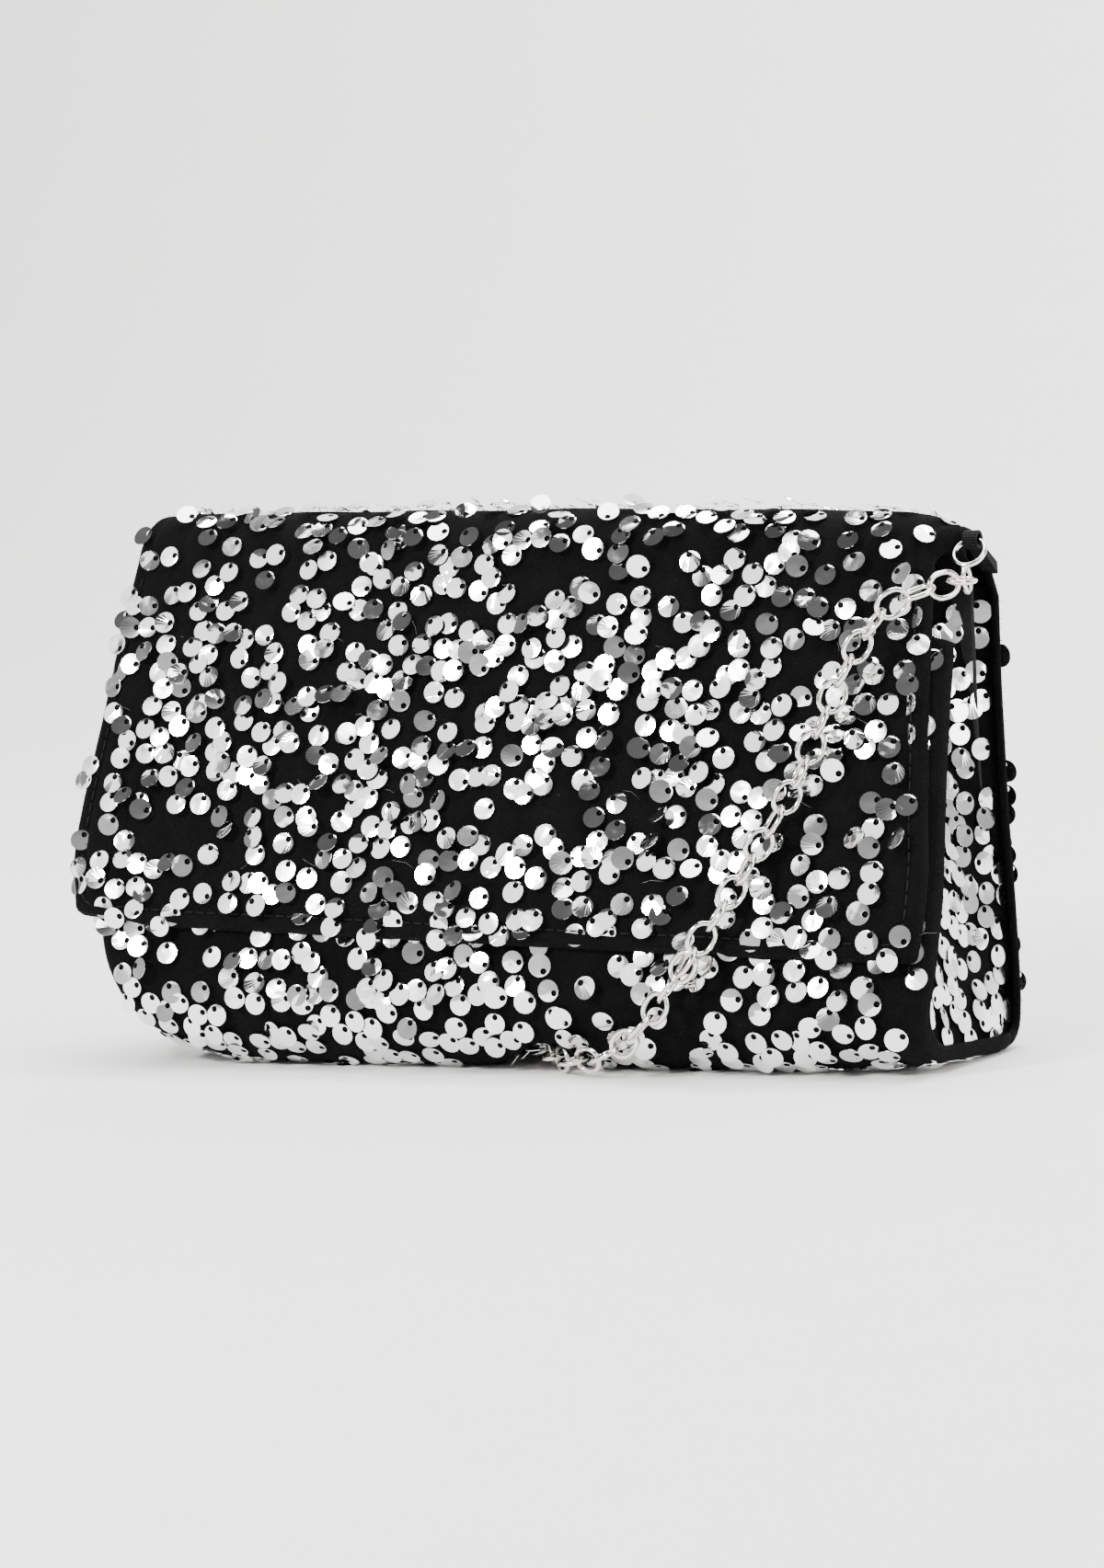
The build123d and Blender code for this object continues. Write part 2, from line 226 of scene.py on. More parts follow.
def grow(name, base, tree, **values):
    """Runs a tree on a base mesh or curve and keeps the result as a plain mesh."""
    carrier = bpy.data.objects.new(name + "_base", base)
    bpy.context.scene.collection.objects.link(carrier)
    step = carrier.modifiers.new("grow", "NODES")
    step.node_group = tree
    for item in tree.interface.items_tree:
        if item.in_out == "INPUT" and item.name in values:
            step[item.identifier] = values[item.name]
    ready = carrier.evaluated_get(bpy.context.evaluated_depsgraph_get())
    mesh = bpy.data.meshes.new_from_object(ready)
    bpy.data.objects.remove(carrier)
    thing = bpy.data.objects.new(name, mesh)
    bpy.context.scene.collection.objects.link(thing)
    mesh.polygons.foreach_set("use_smooth", [True] * len(mesh.polygons))
    return thing


def chain_tree():
    """Oval links along a line, each turned a quarter round from the last."""
    tree, given = new_tree(
        "chain_links",
        ("Pitch", "NodeSocketFloat", link_pitch),
        ("Long", "NodeSocketFloat", link_long),
        ("Wide", "NodeSocketFloat", link_wide),
        ("Thick", "NodeSocketFloat", link_wire),
        ("Lean", "NodeSocketFloat", 0.0),
    )
    line = given["Geometry"].node("GeometryNodeMeshToCurve", inputs={"Mesh": given["Geometry"]})
    line = line.node(
        "GeometryNodeResampleCurve", {"mode": "LENGTH"}, {"Curve": line, "Length": given["Pitch"]}
    )
    along = line.node("GeometryNodeInputTangent")
    side = line.node("GeometryNodeInputNormal")
    facing = line.node(
        "FunctionNodeAxesToRotation",
        {"primary_axis": "X", "secondary_axis": "Z"},
        {"Primary Axis": along, "Secondary Axis": side},
    )
    number = line.node("GeometryNodeInputIndex")
    odd = number.maths("MODULO", number, 2.0)
    wobble = line.node(
        "FunctionNodeRandomValue", {"data_type": "FLOAT"}, {2: -0.16, 3: 0.16, "Seed": 4}, 1
    )
    angle = given["Lean"] + odd * (math.pi / 2) + wobble
    spin = line.node(
        "FunctionNodeAxisAngleToRotation", inputs={"Axis": (1, 0, 0), "Angle": angle}
    )
    facing = line.node(
        "FunctionNodeRotateRotation",
        {"rotation_space": "LOCAL"},
        {"Rotation": facing, "Rotate By": spin},
    )
    ring = line.node(
        "GeometryNodeCurvePrimitiveCircle", {"mode": "RADIUS"}, {"Resolution": 22, "Radius": 1.0}
    )
    reach = (given["Wide"] - given["Thick"]) * 0.5
    stretch = (given["Long"] - given["Wide"]) * 0.5
    place = line.node("GeometryNodeInputPosition")
    parts = line.node("ShaderNodeSeparateXYZ", inputs={"Vector": place})
    east = Wire(tree, parts.socket.node.outputs[0])
    north = Wire(tree, parts.socket.node.outputs[1])
    pushed = east.maths("SIGN", east) * stretch * east.maths("POWER", east.maths("ABSOLUTE", east), 0.45)
    oval = line.node(
        "ShaderNodeCombineXYZ", inputs={"X": east * reach + pushed, "Y": north * reach}
    )
    ring = ring.node("GeometryNodeSetPosition", inputs={"Geometry": ring, "Position": oval})
    section = line.node(
        "GeometryNodeCurvePrimitiveCircle",
        {"mode": "RADIUS"},
        {"Resolution": 9, "Radius": given["Thick"] * 0.5},
    )
    link = ring.node("GeometryNodeCurveToMesh", inputs={"Curve": ring, "Profile Curve": section})
    placed = line.node(
        "GeometryNodeInstanceOnPoints", inputs={"Points": line, "Instance": link, "Rotation": facing}
    )
    close_tree(tree, placed, chain_metal)
    return tree


links_along = chain_tree()


def smooth_line(name, points):
    """The points that a NURBS spline with these control points follows, as a mesh and a list."""
    curve = bpy.data.curves.new(name + "_line", "CURVE")
    curve.dimensions = "3D"
    curve.resolution_u = 16
    spline = curve.splines.new("NURBS")
    spline.points.add(len(points) - 1)
    for spot, point in zip(spline.points, points):
        spot.co = (*(c * mm for c in point), 1)
    spline.order_u = 3
    spline.use_endpoint_u = True
    carrier = bpy.data.objects.new(name + "_line", curve)
    bpy.context.scene.collection.objects.link(carrier)
    line = bpy.data.meshes.new_from_object(carrier)
    bpy.data.objects.remove(carrier)
    return line, [v.co.copy() for v in line.vertices]


front_route = [
    (119.5, 8.6, 114.8),
    (122.2, 0.5, 115.2),
    (117.0, -6.5, 113.8),
    (106.5, -9.4, 111.2),
    (97.0, -14.0, 97.0),
    (90.4, -18.7, 80.5),
    (84.5, -23.0, 66.8),
    (77.6, -26.2, 56.0),
    (71.0, -29.2, 44.8),
    (64.2, -32.9, 34.6),
    (60.6, -34.4, 29.3),
]
line, front_points = smooth_line("chain_front", front_route)
chain_front = grow("chain_strap_front", line, links_along)
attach(chain_front, "flap")
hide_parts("chain_front")

lower_route = [
    (59.7, -34.6, 28.0),
    (52.0, -34.6, 18.3),
    (43.0, -33.8, 9.2),
    (31.5, -31.8, 4.5),
    (20.0, -25.4, 3.8),
    (2.0, -5.0, 3.8),
    (-20.0, 20.8, 3.8),
    (-36.5, 38.5, 3.8),
]
tail_route = [
    (-93.0, 47.0, 6.4),
    (-107.0, 46.4, 4.6),
    (-119.0, 44.0, 9.5),
    (-124.6, 40.0, 24.0),
    (-126.0, 36.0, 44.0),
    (-126.2, 32.6, 66.0),
    (-125.4, 28.6, 86.0),
    (-124.4, 24.2, 101.0),
    (-121.4, 20.6, 110.5),
]


def hank_route():
    """To and fro behind the bag: runs side by side in two layers, with round ends."""
    low, high = (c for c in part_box("chain_hank"))
    left, right = low[0] / mm + 8.5, high[0] / mm - 8.5
    rows = [(high[1] + low[1]) / 2 / mm + step * 6.9 for step in (-1, 0, 1)]
    heights = (3.9, 10.6)
    route = [(left + 66.0, rows[0] - 3.0, 4.0)]
    going_left = True
    order = [(rows[0], heights[0]), (rows[1], heights[0]), (rows[2], heights[0])]
    order += [(rows[2], heights[1]), (rows[1], heights[1]), (rows[0], heights[1])]
    for y, z in order:
        ends = (right, left) if going_left else (left, right)
        if route[-1][0] < right - 30 and len(route) == 1:
            ends = (left + 50.0, left)
        for share in (0.0, 0.25, 0.5, 0.75, 1.0):
            route.append((ends[0] + (ends[1] - ends[0]) * share, y, z))
        going_left = not going_left
    return route


lower_points_route = lower_route[:-1] + hank_route() + tail_route
line, lower_points = smooth_line("chain_lower", lower_points_route)
chain_lower = grow("chain_strap_lower", line, links_along)
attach(chain_lower, "root")
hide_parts("chain_lower", "chain_hank", "chain_tail")

# --- How the bag lies ---------------------------------------------------------------------
# The outer line of the padded bag from behind and over the top to the flap's edge, and under it
# and up the front. The whole bag has sunk a little towards its right side.
lean_turn = math.radians(20.03)
bend_centre, bend_radius = (-11.0, 18.0), 18.0
fold_centre, fold_radius = (17.0, 124.0), 12.0
flap_gap, flap_stack, hinge_up = 0.6, 3.4, 109.18
flap_end, front_end = 8.18, 89.0
side = 120.0


def off_bend(radius, angle, centre):
    turn = math.radians(angle)
    return (
        centre[0] + radius * math.cos(turn),
        centre[1] + radius * math.sin(turn),
        math.cos(turn),
        math.sin(turn),
    )


def off_front(up, depth):
    """y, z and the outward direction at a distance up the leaning front."""
    y, z = -math.cos(lean_turn), math.sin(lean_turn)
    reach = bend_radius - depth
    return (
        bend_centre[0] + reach * y + up * z,
        bend_centre[1] + reach * z - up * y,
        y,
        z,
    )


def steps(start, end, size):
    count = max(1, round(abs(end - start) / size))
    return [start + (end - start) * i / count for i in range(count + 1)]


behind = [off_bend(10.0, a, (19.0, 10.0)) for a in steps(-90, 0, 15)]
behind += [(29.0, z, 1.0, 0.0) for z in steps(10, 124, 3.6)[1:]]
flap_top = 180 - math.degrees(lean_turn)
over_top = [off_bend(fold_radius, a, fold_centre) for a in steps(0, flap_top, 11)[1:]]
down_flap = steps(hinge_up, flap_end + 7, 3.2)[1:] + steps(flap_end + 7, flap_end, 1.0)[1:]
down_flap = [off_front(up, -flap_gap - flap_stack) for up in down_flap]
under = [(y, 0.0, 0.0, -1.0) for y in steps(19, -11, 2.5)]
under += [off_bend(bend_radius, a, bend_centre) for a in steps(-90, -180 - 20.03, 7)[1:]]
up_front = steps(0, front_end - 4, 3.4)[1:] + steps(front_end - 4, front_end, 1.0)[1:]
up_front = [off_front(up, 0) for up in up_front]
behind_count, fold_count = len(behind), len(over_top)
under_count = len(under)


def sink(x, y, z):
    """Where a point of the CAD bag lies on the real one: the fold's left end stands higher."""
    drop = 5.2 * x / side * min(1.0, max(0.0, z) / 30)
    drop += 4.0 * max(0.0, (x - 102) / 18) ** 2 * max(0.0, min(1.0, (z - 100) / 28))
    sway = noise.noise(Vector((x, y, z)) / 55.0) * 1.4 * min(1.0, z / 40)
    corner = max(0.0, 1 - z / 46) * max(0.0, min(1.0, (14 - y) / 26))
    lift = (5.5 - 0.03 * x) * corner * max(0.0, (abs(x) - 78) / 42) ** 2
    draw_in = (0.07 - 0.0004 * x) * corner
    return Vector((x * (1 - draw_in), y + sway, z - drop + lift)) * mm


def chain_rise(x, y):
    """The height of the arched way that the base leaves for the chain."""
    away = abs((x - 20.0) * 61.4 + (y + 25.4) * 56.0) / math.hypot(61.4, 56.0)
    share = max(0.0, min(1.0, (away - 4.4) / 7.0))
    return 7.9 * (1 - share * share * (3 - 2 * share))


def edge_round(inside, radius):
    """How far a padded edge rolls in, at a distance inside it."""
    share = max(0.0, 1 - inside / radius)
    return radius * (1 - math.sqrt(max(0.0, 1 - share * share)))


def columns(half):
    """x across the bag, closer together near the sides."""
    fine, coarse = 1.0, 3.6
    inner = steps(-(half - 8), half - 8, coarse)
    return steps(-half, -(half - 8), fine)[:-1] + inner + steps(half - 8, half, fine)[1:]


def sheet_of(name, rows, thick, material, outer_only=False):
    """A closed sheet with a rolled rim. Rows of points are its outer face."""
    high, wide = len(rows), len(rows[0])
    flat = [spot for row in rows for spot in row]
    backs, rims, rim_of = [], [], {}
    for i in range(high):
        for j in range(wide):
            one = rows[min(i + 1, high - 1)][j] - rows[max(i - 1, 0)][j]
            two = rows[i][min(j + 1, wide - 1)] - rows[i][max(j - 1, 0)]
            backs.append(rows[i][j] - one.cross(two).normalized() * thick * mm)
    faces = [
        (i * wide + j, i * wide + j + 1, (i + 1) * wide + j + 1, (i + 1) * wide + j)
        for i in range(high - 1)
        for j in range(wide - 1)
    ]
    if outer_only:
        return flat, [face[::-1] for face in faces]
    total = len(flat)
    loop = [j for j in range(wide)]
    loop += [i * wide + wide - 1 for i in range(1, high)]
    loop += [(high - 1) * wide + j for j in range(wide - 2, -1, -1)]
    loop += [i * wide for i in range(high - 2, 0, -1)]
    for place in loop:
        i, j = divmod(place, wide)
        inner = rows[min(max(i, 1), high - 2)][min(max(j, 1), wide - 2)]
        away = (flat[place] - inner).normalized()
        rim_of[place] = 2 * total + len(rims)
        rims.append((flat[place] + backs[place]) / 2 + away * thick * mm * 0.5)
    faces += [tuple(total + k for k in reversed(face)) for face in faces]
    for here, there in zip(loop, loop[1:] + loop[:1]):
        faces.append((there, here, rim_of[here], rim_of[there]))
        faces.append((rim_of[there], rim_of[here], total + here, total + there))
    thing = add_mesh(name, flat + backs + rims, faces, material)
    tidy = bmesh.new()
    tidy.from_mesh(thing.data)
    bmesh.ops.recalc_face_normals(tidy, faces=tidy.faces)
    tidy.to_mesh(thing.data)
    tidy.free()
    return thing


def layer(path, half, shape):
    """Rows of points across the bag. shape gives how deep each lies inside the outer line."""
    rows = []
    (y, z, ny, nz), (next_y, next_z, _, _) = path[:2]
    order = 1 if (next_z - z) * ny > (next_y - y) * nz else -1
    for k, (y, z, ny, nz) in enumerate(path):
        row = []
        for x in columns(half):
            deep = shape(x, k, y, z)
            row.append(sink(x, y - ny * deep, z - nz * deep))
        rows.append(row[::order])
    return rows


# --- Velvet -------------------------------------------------------------------------------
# Black pile velvet, glued and sewn over wadding and board. One length makes the back, the soft
# fold over the top and the flap. Another makes the base and the front, and arches over the chain.
def velvet_cloth():
    made, tree, shader = finish_of("velvet", Sheen_Roughness=0.4, Sheen_Weight=0.016)
    shader.inputs["Sheen Tint"].default_value = (0.62, 0.63, 0.66, 1)
    shader.inputs["Specular IOR Level"].default_value = 0.04
    place = tree.node("ShaderNodeTexCoord", output=3)
    pile = tree.node("ShaderNodeTexNoise", inputs={"Vector": place, "Scale": 2600.0, "Detail": 3.0})
    nap = tree.node("ShaderNodeTexNoise", inputs={"Vector": place, "Scale": 130.0, "Detail": 3.0})
    lint = pile > 0.68
    tone = nap * 0.55 + lint * 0.5
    bump = tree.node(
        "ShaderNodeBump", inputs={"Height": pile + nap * 1.5, "Strength": 0.7, "Distance": 0.0007}
    )
    feed(
        shader,
        Base_Color=colour_mix(tone, (0.0006, 0.0006, 0.0007), (0.008, 0.008, 0.009)),
        Roughness=nap * 0.2 + 0.78,
        Normal=bump,
    )
    return made


velvet = velvet_cloth()
flap_rows = behind + over_top + down_flap
flap_first = behind_count + fold_count


def flap_shape(x, k, y, z):
    """Padded, with rolled edges and a stitched line 4 mm inside them on the flap."""
    half = side if k < behind_count - 3 else 117.0
    from_side = half - abs(x) * half / side
    deep = edge_round(from_side, 3.4) - 0.9 * (1 - (x / side) ** 2)
    if k >= behind_count:
        low = math.dist((y, z), (flap_rows[-1][0], flap_rows[-1][1]))
        deep += edge_round(low, 2.6)
        near = min(from_side, low)
        deep += 0.8 * math.exp(-(((near - 4.2) / 1.1) ** 2))
    deep -= 0.7 * noise.noise(Vector((x / 24, k / 7.0, 3.1)))
    if k < 7:
        deep += 0.5
    return deep


def flared(rows, first):
    """Draws the fold in to the flap's width, and lets the flap spread towards its lower edge."""
    for k, row in enumerate(rows):
        blend = max(0.0, min(1.0, (k - first + 3) / 3))
        down = max(0.0, min(1.0, (k - first - 8) / 30))
        front = max(0.0, min(1.0, (k - first - 5) / 8))
        for spot in row:
            spot.x *= 1 - blend * (0.037 - 0.049 * down)
            spot.x += mm * blend * (1.8 - 4.0 * down)
            right = max(0.0, spot.x / mm - 55) / 62
            spot.x -= mm * right**2 * front * (7.5 - 5.5 * down)
    return rows


back_rows = flared(layer(flap_rows, side, flap_shape), behind_count)
back_velvet = sheet_of("velvet_back_and_flap", back_rows, 1.8, velvet)

front_rows_line = under + up_front


def front_shape(x, k, y, z):
    """Padded and rolled in at its sides, with the way for the chain pressed up into it."""
    from_side = side - abs(x)
    deep = edge_round(from_side, 4.2) - 0.6 * (1 - (x / side) ** 2) * (k > under_count)
    if k >= under_count:
        top = math.dist((y, z), (front_rows_line[-1][0], front_rows_line[-1][1]))
        deep += edge_round(top, 1.6) + 0.35 * noise.noise(Vector((x / 22, k / 6, 7.7)))
    return deep


def front_grid():
    rows = []
    for k, (y, z, ny, nz) in enumerate(front_rows_line):
        row = []
        for x in columns(side):
            deep = front_shape(x, k, y, z)
            here, high = y - ny * deep, z - nz * deep
            if k < under_count:
                high = max(high, 0.6)
                rise = chain_rise(x, here)
                high = high if high > rise else rise - 0.25 * (rise - high) * (rise - high < 0.8)
            spot = sink(x, here, high)
            up = max(0.0, (k - under_count) / (len(front_rows_line) - under_count))
            spot.x -= 4.0 * mm * up * max(0.0, (x - 60) / 60) ** 2
            row.append(spot)
        rows.append(row[::-1])
    return rows


front_rows = front_grid()
front_velvet = sheet_of("velvet_base_and_front", front_rows, 1.8, velvet)

# --- Pleated sides ------------------------------------------------------------------------
# A gusset of the same velvet between front and back on each side, folded inward down its middle.
# It is nearly flat at the base, and its fold is deepest at the mouth.
gusset_top, gusset_low = 106.0, 1.8


def gusset_rows(hand, inset):
    rows = []
    for share in steps(0, 1, 0.033):
        row = []
        for step in steps(0, 1, 0.034):
            z = gusset_low + (gusset_top + 13.0 * step - gusset_low) * share
            up = (z - off_front(0, 2.1)[1]) / math.cos(lean_turn)
            if up >= 0:
                near = off_front(up, 2.1)[0]
            else:
                drop = min(bend_radius - z, bend_radius - 2.1)
                near = bend_centre[0] - math.sqrt((bend_radius - 2.1) ** 2 - drop**2)
            far = 19.0 + math.sqrt(max(8.2**2 - max(10.0 - z, 0) ** 2, 0))
            fold = 1 - abs(2 * step - 1) ** 1.25
            crease = noise.noise(Vector((step * 5, z / 17, 4.0 + hand))) * 1.2
            crease *= math.sin(math.pi * step) * min(1.0, z / 30)
            x = 117.0 - inset - (0.6 + 16.0 * share) * fold + crease
            spot = sink(hand * x, near + (far - near) * step, z)
            spot.x -= 4.0 * mm * share * (1 - step) * (hand > 0)
            row.append(spot)
        rows.append(row if hand < 0 else row[::-1])
    return rows


gussets = {}
for hand, word in ((1, "right"), (-1, "left")):
    rows = gusset_rows(hand, 0.0)
    gussets[word] = (sheet_of(f"velvet_{word}_gusset", rows, 2.2, velvet), rows)

# --- Lining -------------------------------------------------------------------------------
# Black satin: one length down the back, over the fold and down the flap, another across the base
# and up the front, one in each side, and a slip pocket sewn to the back on three sides.
def satin_cloth():
    made, tree, shader = finish_of("satin_lining", Sheen_Weight=0.03, Specular_IOR_Level=0.22)
    place = tree.node("ShaderNodeTexCoord", output=3)
    weave = tree.node(
        "ShaderNodeTexWave",
        {"bands_direction": "DIAGONAL"},
        {"Vector": place, "Scale": 1100.0, "Distortion": 0.6},
    )
    soft = tree.node("ShaderNodeTexNoise", inputs={"Vector": place, "Scale": 60.0, "Detail": 2.0})
    bump = tree.node(
        "ShaderNodeBump", inputs={"Height": soft * 3 + weave * 0.25, "Strength": 0.5, "Distance": 0.0006}
    )
    feed(
        shader,
        Base_Color=colour_mix(weave * 0.4 + soft * 0.6, (0.004, 0.004, 0.005), (0.013, 0.013, 0.015)),
        Roughness=soft * 0.2 + 0.32,
        Normal=bump,
    )
    return made


satin = satin_cloth()
lining_line = behind[3:] + over_top + down_flap[:-3]


def lining_depth(x, k, y, z):
    """Inside the back's board, up to the velvet at the fold, and inside the flap's board."""
    if k < behind_count - 3:
        return 5.25 - 3.35 * max(0.0, min(1.0, (z - 114) / 9)) ** 2
    if k < behind_count - 3 + fold_count:
        return 1.9
    fall = (k - behind_count + 3 - fold_count) * 3.2
    return 1.9 + 0.9 * max(0.0, min(1.0, (fall - 10) / 7))


back_lining_rows = layer(
    lining_line[2:], 114.0, lambda x, k, y, z: lining_depth(x, k + 2, y, z)
)
back_lining_rows = flared(back_lining_rows, behind_count - 5)
back_lining = sheet_of("satin_back_and_flap", back_lining_rows, 0.55, satin)


def front_lining_depth(x, k, y, z):
    """Above the base's board, round the bend and inside the front's board."""
    if k >= under_count:
        top = math.dist((y, z), (front_rows_line[-1][0], front_rows_line[-1][1]))
        return 5.25 - 3.2 * max(0.0, min(1.0, (5 - top) / 4))
    first = under_count - 15
    return 11.45 - 6.2 * max(0.0, min(1.0, (k - first) / 15))


front_lining_rows = layer(front_rows_line[:-1], 107.0, front_lining_depth)
front_lining = sheet_of("satin_base_and_front", front_lining_rows, 0.55, satin)

gusset_linings = {}
for hand, word in ((1, "right"), (-1, "left")):
    gusset_linings[word] = sheet_of(
        f"satin_{word}_gusset", gusset_rows(hand, 2.25), 0.7, satin
    )


def pocket_rows():
    rows = []
    for z in steps(24, 88, 3.2):
        row = []
        for x in columns(75.0):
            inside = min(1.0, (75.0 - abs(x)) / 10, (z - 24) / 10)
            slack = 1.7 * inside * (2 - inside) * (0.55 + 0.45 * z / 88)
            slack += 0.25 * inside * math.sin(x / 9.0) * z / 88
            row.append(sink(x, 29 - 5.85 - slack, z))
        rows.append(row)
    return rows


slip_pocket = sheet_of("satin_slip_pocket", pocket_rows(), 0.5, satin)

# --- Wadding and boards -------------------------------------------------------------------
# Under the velvet lie polyester wadding and grey bag board, in the back, base, front and flap.
def padding(name, dark, light, scale, rough):
    made, tree, shader = finish_of(name)
    place = tree.node("ShaderNodeTexCoord", output=3)
    fibre = tree.node("ShaderNodeTexNoise", inputs={"Vector": place, "Scale": scale, "Detail": 5.0})
    bump = tree.node("ShaderNodeBump", inputs={"Height": fibre, "Strength": 0.5, "Distance": 0.0005})
    feed(
        shader,
        Base_Color=colour_mix(fibre, dark, light),
        Roughness=fibre * 0.15 + rough,
        Normal=bump,
    )
    return made


wadding = padding("wadding", (0.62, 0.61, 0.58), (0.86, 0.85, 0.83), 500.0, 0.8)
board = padding("bag_board", (0.30, 0.26, 0.21), (0.44, 0.39, 0.33), 900.0, 0.7)
back_stretch = [point for point in behind if 12 <= point[1] <= 118]
front_stretch = front_rows_line[under_count:-4]
flap_stretch = down_flap[4:-8]
base_stretch = under[:13]
layers = {}
for name, line, half, deep, thick, material in (
    ("wadding_back", back_stretch, 106.0, 1.95, 1.9, wadding),
    ("board_back", back_stretch, 106.0, 4.0, 1.1, board),
    ("wadding_front", front_stretch, 106.0, 2.0, 1.85, wadding),
    ("board_front", front_stretch, 106.0, 4.0, 1.1, board),
    ("board_flap", flap_stretch, 111.0, 1.9, 0.8, board),
    ("board_base", base_stretch, 106.0, 9.85, 1.5, board),
):
    rows = layer(line, half, lambda x, k, y, z: deep)
    if name == "board_flap":
        rows = flared(rows, -fold_count - 4)
    layers[name] = sheet_of(name, rows, thick, material)


def base_wadding_rows(depth):
    rows = []
    for y in steps(19, -11, 2.5):
        row = []
        for x in columns(108.0):
            row.append(sink(x, y, max(depth, min(9.4, chain_rise(x, y) + 1.9))))
        rows.append(row)
    return rows


def between(name, lower, upper, material):
    """A closed pad between two grids of points."""
    high, wide = len(lower), len(lower[0])
    total = high * wide
    spots = [p for row in lower for p in row] + [p for row in upper for p in row]
    faces = []
    for i in range(high - 1):
        for j in range(wide - 1):
            a, b, c, d = i * wide + j, i * wide + j + 1, (i + 1) * wide + j + 1, (i + 1) * wide + j
            faces += [(a, b, c, d), (total + d, total + c, total + b, total + a)]
    loop = [j for j in range(wide)] + [i * wide + wide - 1 for i in range(1, high)]
    loop += [(high - 1) * wide + j for j in range(wide - 2, -1, -1)]
    loop += [i * wide for i in range(high - 2, 0, -1)]
    for here, there in zip(loop, loop[1:] + loop[:1]):
        faces.append((there, here, total + here, total + there))
    thing = add_mesh(name, spots, faces, material)
    tidy = bmesh.new()
    tidy.from_mesh(thing.data)
    bmesh.ops.recalc_face_normals(tidy, faces=tidy.faces)
    tidy.to_mesh(thing.data)
    tidy.free()
    return thing


flat_top = [[Vector((p.x, p.y, 9.75 * mm)) for p in row] for row in base_wadding_rows(2.5)]
layers["wadding_base"] = between("wadding_base", base_wadding_rows(2.5), flat_top, wadding)

# --- Sequins ------------------------------------------------------------------------------
# Flat round sequins 5.6 mm across, punched from silvered film with a hole near the edge. Each is
# sewn by one stitch through its hole, along lines that wander over the velvet.
def silvered_film():
    made, tree, shader = finish_of("silvered_film", Metallic=1.0)
    place = tree.node("ShaderNodeTexCoord", output=3)
    own = tree.node("ShaderNodeAttribute", {"attribute_name": "own_share"}, output=2)
    rub = tree.node("ShaderNodeTexNoise", inputs={"Vector": place, "Scale": 2400.0, "Detail": 3.0})
    warp = tree.node("ShaderNodeTexNoise", inputs={"Vector": place, "Scale": 260.0, "Detail": 1.0})
    bump = tree.node("ShaderNodeBump", inputs={"Height": warp, "Strength": 0.22, "Distance": 0.0005})
    feed(
        shader,
        Base_Color=colour_mix(own.maths("POWER", 0.7), (0.28, 0.29, 0.31), (0.96, 0.96, 0.96)),
        Roughness=own.maths("POWER", own, 4.0) * 0.22 + rub * 0.05 + 0.03,
        Normal=bump,
    )
    return made


def sewing_thread():
    made, tree, shader = finish_of("black_thread", Specular_IOR_Level=0.1)
    place = tree.node("ShaderNodeTexCoord", output=3)
    twist = tree.node("ShaderNodeTexNoise", inputs={"Vector": place, "Scale": 4000.0})
    feed(
        shader,
        Base_Color=colour_mix(twist, (0.002, 0.002, 0.002), (0.012, 0.012, 0.013)),
        Roughness=twist * 0.2 + 0.55,
    )
    return made


film, thread = silvered_film(), sewing_thread()


def disc_shape(name, shape):
    """One closed sequin, 16 faces round, whose origin is its hole and whose body lies along +X."""
    count, big, small, offset, thick = 16, 2.8, 0.78, 1.72, 0.13
    spots = []
    for level in (0.5, -0.5):
        for radius, centre in ((big, offset), (small, 0.0)):
            for i in range(count):
                turn = math.tau * i / count
                x, y = centre + radius * math.cos(turn), radius * math.sin(turn)
                rim = 0.09 if radius == small and level > 0 else 0.0
                z = level * thick + rim + shape(x - offset, y)
                spots.append(Vector((x, y, z)) * mm)
    faces = []
    for i in range(count):
        j = (i + 1) % count
        for a, b in ((0, 1), (1, 3), (3, 2), (2, 0)):
            faces.append((a * count + i, b * count + i, b * count + j, a * count + j))
    shape_mesh = bpy.data.meshes.new(name)
    shape_mesh.from_pydata([tuple(s) for s in spots], [], faces)
    tidy = bmesh.new()
    tidy.from_mesh(shape_mesh)
    bmesh.ops.recalc_face_normals(tidy, faces=tidy.faces)
    tidy.to_mesh(shape_mesh)
    tidy.free()
    return bpy.data.objects.new(name, shape_mesh)


flat_disc = disc_shape("sequin_flat", lambda x, y: 0.0)
bent_disc = disc_shape("sequin_bent", lambda x, y: 0.035 * (x + 0.5 * y) ** 2)
dished_disc = disc_shape("sequin_dished", lambda x, y: 0.022 * (x * x + y * y))
twisted_disc = disc_shape("sequin_twisted", lambda x, y: 0.045 * x * y - 0.03 * abs(y) ** 1.5)


def stitch_shape():
    """The stitch that holds a sequin: from its hole over its near edge."""
    spots = [
        Vector((x, y, z)) * mm
        for x, z in ((0.15, -0.35), (0.1, 0.2), (-0.8, 0.22), (-1.45, -0.35))
        for y in (-0.09, 0.09)
    ]
    spots += [spot - Vector((0, 0, 0.14 * mm)) for spot in spots]
    faces = []
    for k in (0, 2, 4):
        faces += [(k, k + 1, k + 3, k + 2), (k + 8, k + 10, k + 11, k + 9)]
        faces += [(k, k + 2, k + 10, k + 8), (k + 1, k + 9, k + 11, k + 3)]
    faces += [(0, 8, 9, 1), (6, 7, 15, 14)]
    shape_mesh = bpy.data.meshes.new("stitch_shape")
    shape_mesh.from_pydata([tuple(s) for s in spots], [], faces)
    return bpy.data.objects.new("stitch_shape", shape_mesh)


one_stitch = stitch_shape()


